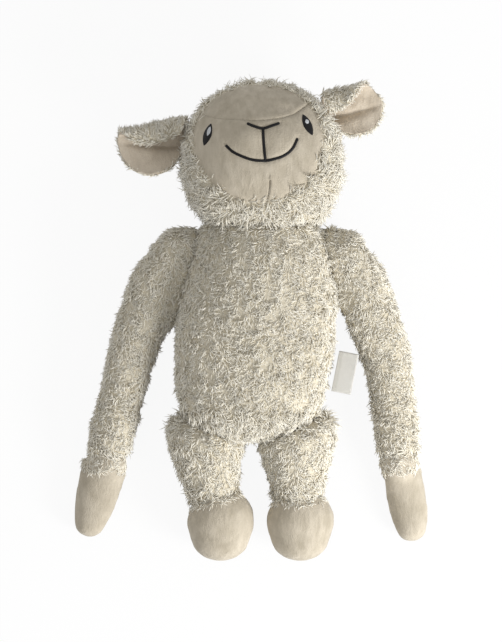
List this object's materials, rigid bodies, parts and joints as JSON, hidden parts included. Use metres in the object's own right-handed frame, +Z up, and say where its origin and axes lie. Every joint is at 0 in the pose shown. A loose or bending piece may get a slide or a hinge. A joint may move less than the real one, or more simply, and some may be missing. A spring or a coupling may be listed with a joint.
{
  "type": "plush llama dog toy",
  "caption": "Stuffed llama toy for dogs, lying on its back: curly fleece body, long floppy arms, short legs, smooth stitched face, cupped ears, blank loop label and a squeaker inside.",
  "frame": {"origin": "bottom centre of the bounding box, under the toy as it lies on its back", "axes": "+X towards the toy's own left, +Y towards its head, +Z up, out of its face and belly"},
  "size_m": [0.3157, 0.429, 0.1169],
  "materials": {
    "fleece": "curly pile",
    "velour": "short smooth pile",
    "black_thread": "satin stitch",
    "white_thread": "satin stitch",
    "ribbon": "woven satin",
    "filling": "loose fibre",
    "squeaker_plastic": "moulded",
    "reed_plastic": "moulded"
  },
  "bodies": {
    "torso": {"torso_front_cover": "fleece", "torso_back_cover": "fleece", "torso_front_filling": "filling", "torso_back_filling": "filling", "squeaker_base": "squeaker_plastic", "squeaker_reed": "reed_plastic", "squeaker_bellows": "squeaker_plastic"},
    "squeaker_top": {"squeaker_cap": "squeaker_plastic"},
    "label": {"side_label": "ribbon"},
    "head": {"head_hood": "fleece", "face_panel": "velour", "forehead_panel": "velour", "head_filling": "filling", "left_eye": "black_thread", "left_eye_glint": "white_thread", "right_eye": "black_thread", "right_eye_glint": "white_thread", "nose_stitch": "black_thread", "lip_stitch": "black_thread", "mouth_stitch": "black_thread"},
    "left_ear": {"left_ear_back": "fleece", "left_ear_lining": "velour"},
    "left_arm": {"left_arm_cover": "fleece", "left_arm_filling": "filling"},
    "left_hand": {"left_hand_cover": "velour", "left_hand_filling": "filling"},
    "left_leg": {"left_leg_cover": "fleece", "left_leg_filling": "filling"},
    "left_foot": {"left_foot_cover": "velour", "left_foot_filling": "filling"},
    "right_ear": {"right_ear_back": "fleece", "right_ear_lining": "velour"},
    "right_arm": {"right_arm_cover": "fleece", "right_arm_filling": "filling"},
    "right_hand": {"right_hand_cover": "velour", "right_hand_filling": "filling"},
    "right_leg": {"right_leg_cover": "fleece", "right_leg_filling": "filling"},
    "right_foot": {"right_foot_cover": "velour", "right_foot_filling": "filling"}
  },
  "joints": [
    {"name": "head_nod", "type": "hinge", "parent": "torso", "child": "head", "pos_m": [0.0077, 0.0565, 0.04899], "axis": [1, 0, 0], "range_deg": [0, 30]},
    {"name": "left_ear_flop", "type": "hinge", "parent": "head", "child": "left_ear", "pos_m": [0.0721, 0.18811, 0.05889], "axis": [0.6071, -0.7947, 0], "range_deg": [-40, 40], "stiffness_Nm_per_rad": 0.02},
    {"name": "right_ear_flop", "type": "hinge", "parent": "head", "child": "right_ear", "pos_m": [-0.0671, 0.16313, 0.05889], "axis": [0.2633, 0.9647, 0], "range_deg": [-40, 40], "stiffness_Nm_per_rad": 0.02},
    {"name": "left_shoulder", "type": "hinge", "parent": "torso", "child": "left_arm", "pos_m": [0.0689, 0.0615, 0.047], "axis": [-0.9763, -0.2164, 0], "range_deg": [0, 90]},
    {"name": "left_wrist", "type": "hinge", "parent": "left_arm", "child": "left_hand", "pos_m": [0.1311, -0.1215, 0.019], "axis": [-0.9848, -0.1736, 0], "range_deg": [0, 50]},
    {"name": "right_shoulder", "type": "hinge", "parent": "torso", "child": "right_arm", "pos_m": [-0.0535, 0.0615, 0.047], "axis": [-0.9763, 0.2164, 0], "range_deg": [0, 90]},
    {"name": "right_wrist", "type": "hinge", "parent": "right_arm", "child": "right_hand", "pos_m": [-0.129, -0.1215, 0.019], "axis": [-0.965, 0.2622, 0], "range_deg": [0, 50]},
    {"name": "left_hip", "type": "hinge", "parent": "torso", "child": "left_leg", "pos_m": [-0.0013, -0.0645, 0.04503], "axis": [-1, 0, 0], "range_deg": [0, 60]},
    {"name": "left_ankle", "type": "hinge", "parent": "left_leg", "child": "left_foot", "pos_m": [0.0402, -0.1435, 0.02485], "axis": [-1, 0, 0], "range_deg": [0, 30]},
    {"name": "right_hip", "type": "hinge", "parent": "torso", "child": "right_leg", "pos_m": [-0.0013, -0.0645, 0.04503], "axis": [-1, 0, 0], "range_deg": [0, 60]},
    {"name": "right_ankle", "type": "hinge", "parent": "right_leg", "child": "right_foot", "pos_m": [-0.0373, -0.1435, 0.02485], "axis": [-1, 0, 0], "range_deg": [0, 30]},
    {"name": "label_flip", "type": "hinge", "parent": "torso", "child": "label", "pos_m": [0.07387, -0.04473, 0.0495], "axis": [-0.1946, -0.9809, 0], "range_deg": [-60, 60], "stiffness_Nm_per_rad": 0.0005},
    {"name": "squeaker_squeeze", "type": "slide", "parent": "torso", "child": "squeaker_top", "axis": [0, 0, -1], "range_m": [0, 0.006], "stiffness_N_per_m": 400, "deforming": ["squeaker_bellows"]}
  ]
}
